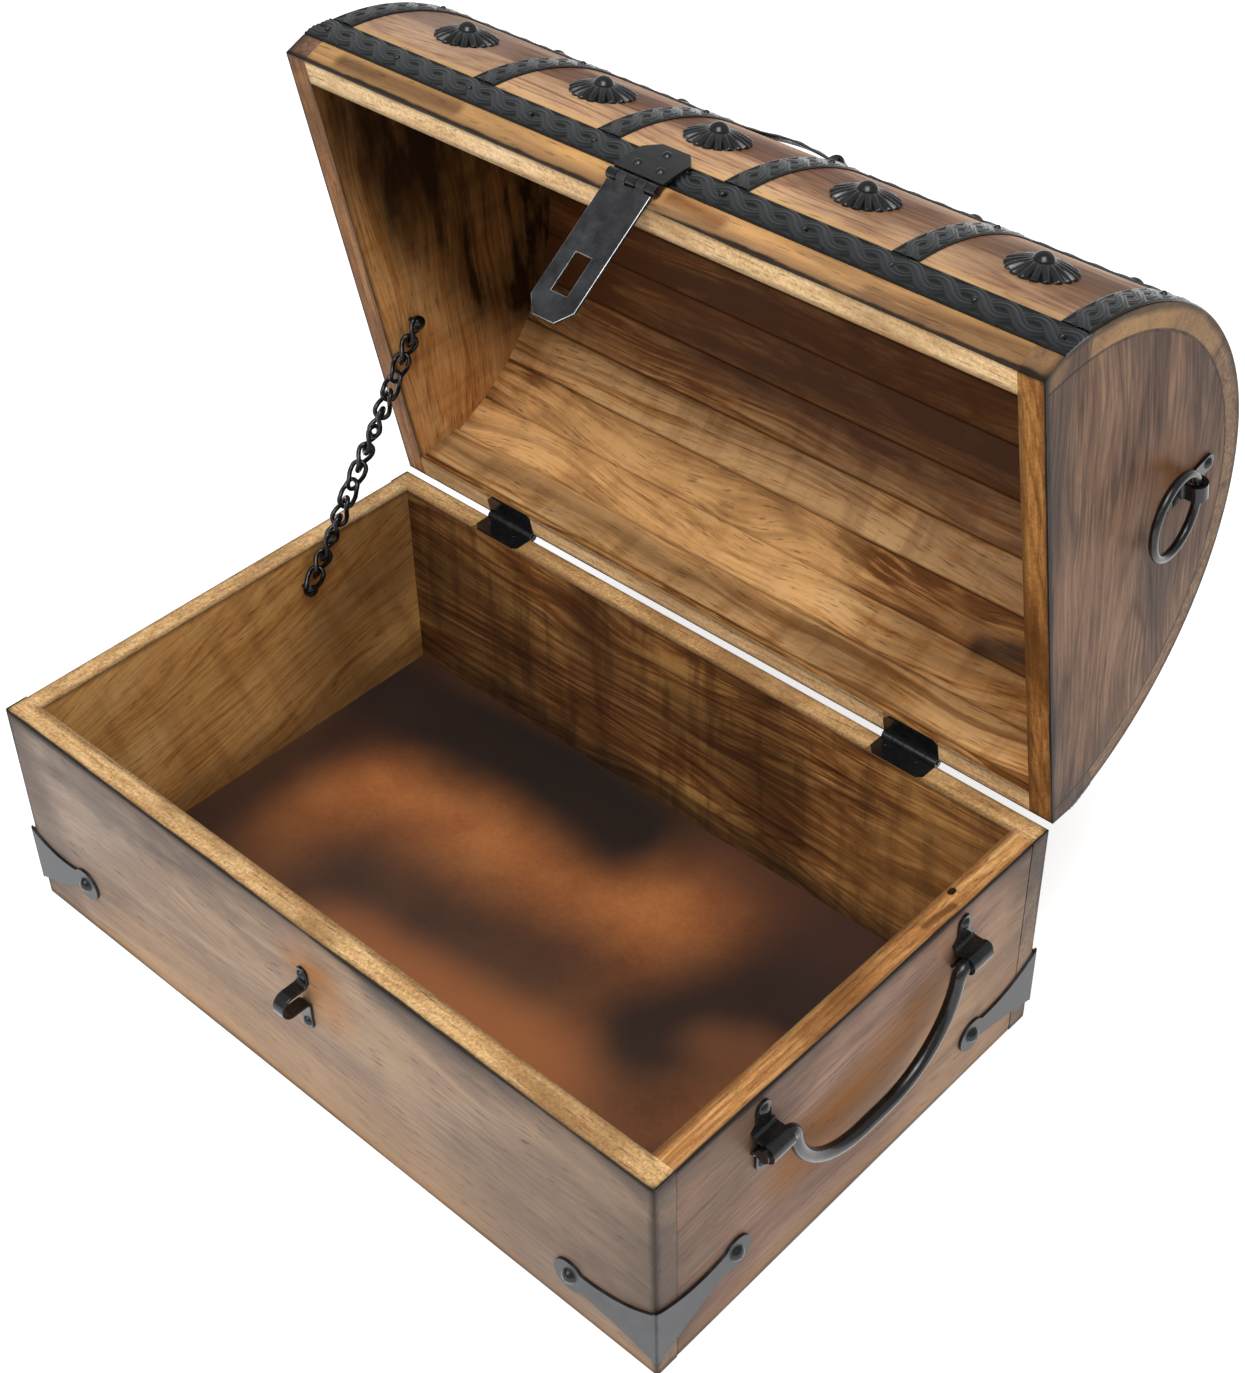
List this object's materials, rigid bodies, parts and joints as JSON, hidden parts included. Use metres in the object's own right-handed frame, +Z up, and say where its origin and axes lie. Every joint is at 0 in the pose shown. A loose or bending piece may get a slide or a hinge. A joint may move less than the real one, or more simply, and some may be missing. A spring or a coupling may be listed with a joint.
{
  "type": "treasure chest",
  "caption": "Wooden treasure chest with a barrel lid on hinges, iron bands, studs, hasp and staple, stay chain, bail handles and ring pulls.",
  "frame": {"origin": "middle of the underside of the box", "axes": "+X to the right along the length, -Y to the front, +Z up"},
  "size_m": [0.4246, 0.3895, 0.3769],
  "materials": {
    "box_wood": "aged lacquer, burnt edges",
    "lid_wood": "aged lacquer, burnt edges",
    "floor_wood": "stained, burnt clouds",
    "black_iron": "black, semi-gloss",
    "embossed_iron": "black, embossed braid",
    "worn_iron": "dark grey, worn bright at the edges"
  },
  "bodies": {
    "base": {"base_front": "box_wood", "base_back": "box_wood", "base_left": "box_wood", "base_right": "box_wood", "base_bottom": "floor_wood", "hinge_left_base_leaf": "black_iron", "hinge_right_base_leaf": "black_iron", "hinge_left_pin": "black_iron", "hinge_right_pin": "black_iron", "hasp_staple": "black_iron", "side_handle_brackets": "black_iron", "corner_strap_front_left": "black_iron", "corner_strap_front_right": "black_iron", "corner_strap_back_left": "black_iron", "corner_strap_back_right": "black_iron", "corner_rivets": "black_iron", "base_screws": "black_iron", "stay_chain_lower": "worn_iron"},
    "lid": {"lid_front_rail": "lid_wood", "lid_back_rail": "lid_wood", "lid_end_left": "lid_wood", "lid_end_right": "lid_wood", "lid_stave_01": "lid_wood", "lid_stave_02": "lid_wood", "lid_stave_03": "lid_wood", "lid_stave_04": "lid_wood", "lid_stave_05": "lid_wood", "lid_stave_06": "lid_wood", "lid_stave_07": "lid_wood", "lid_stave_08": "lid_wood", "lid_stave_09": "lid_wood", "lid_stave_10": "lid_wood", "lid_stave_11": "lid_wood", "lid_stave_12": "lid_wood", "lid_stave_13": "lid_wood", "lid_stave_14": "lid_wood", "front_band": "embossed_iron", "back_band": "embossed_iron", "transverse_band_1": "embossed_iron", "transverse_band_2": "embossed_iron", "transverse_band_3": "embossed_iron", "transverse_band_4": "embossed_iron", "transverse_band_5": "embossed_iron", "transverse_band_6": "embossed_iron", "hinge_left_lid_leaf": "black_iron", "hinge_right_lid_leaf": "black_iron", "stud_rosettes": "black_iron", "stud_nails": "black_iron", "hasp_plate": "worn_iron", "hasp_pin": "black_iron", "top_handle_brackets": "black_iron", "ring_brackets": "black_iron", "lid_screws": "black_iron", "stay_chain_upper": "worn_iron"},
    "hasp_strap": {"hasp_strap": "worn_iron"},
    "handle_left": {"handle_left": "black_iron"},
    "handle_right": {"handle_right": "black_iron"},
    "top_handle": {"top_handle": "black_iron"},
    "ring_left": {"ring_left": "worn_iron"},
    "ring_right": {"ring_right": "worn_iron"}
  },
  "joints": [
    {"name": "lid_hinge", "type": "hinge", "parent": "base", "child": "lid", "pos_m": [0, 0.127, 0.1187], "axis": [1, 0, 0], "range_deg": [0, 79], "deforming": ["stay_chain_lower", "stay_chain_upper"]},
    {"name": "hasp_swing", "type": "hinge", "parent": "lid", "child": "hasp_strap", "pos_m": [0.002, 0.08471, 0.37188], "axis": [-1, 0, 0], "range_deg": [0, 40.1]},
    {"name": "handle_left_swing", "type": "hinge", "parent": "base", "child": "handle_left", "pos_m": [-0.2075, 0, 0.094], "axis": [0, 1, 0], "range_deg": [-3, 150]},
    {"name": "handle_right_swing", "type": "hinge", "parent": "base", "child": "handle_right", "pos_m": [0.2075, 0, 0.094], "axis": [0, -1, 0], "range_deg": [-3, 150]},
    {"name": "top_handle_swing", "type": "hinge", "parent": "lid", "child": "top_handle", "pos_m": [-0.003, 0.22937, 0.26798], "axis": [0, 0.1908, -0.9816], "range_deg": [0, 132]},
    {"name": "ring_left_swing", "type": "hinge", "parent": "lid", "child": "ring_left", "pos_m": [-0.206, 0.19543, 0.26138], "axis": [0, 0.1908, -0.9816], "range_deg": [-8, 140]},
    {"name": "ring_right_swing", "type": "hinge", "parent": "lid", "child": "ring_right", "pos_m": [0.206, 0.19543, 0.26138], "axis": [0, -0.1908, 0.9816], "range_deg": [-8, 140]}
  ],
  "couplings": [
    {"joint": "hasp_swing", "follows": "lid_hinge", "ratio": 0.50633}
  ]
}
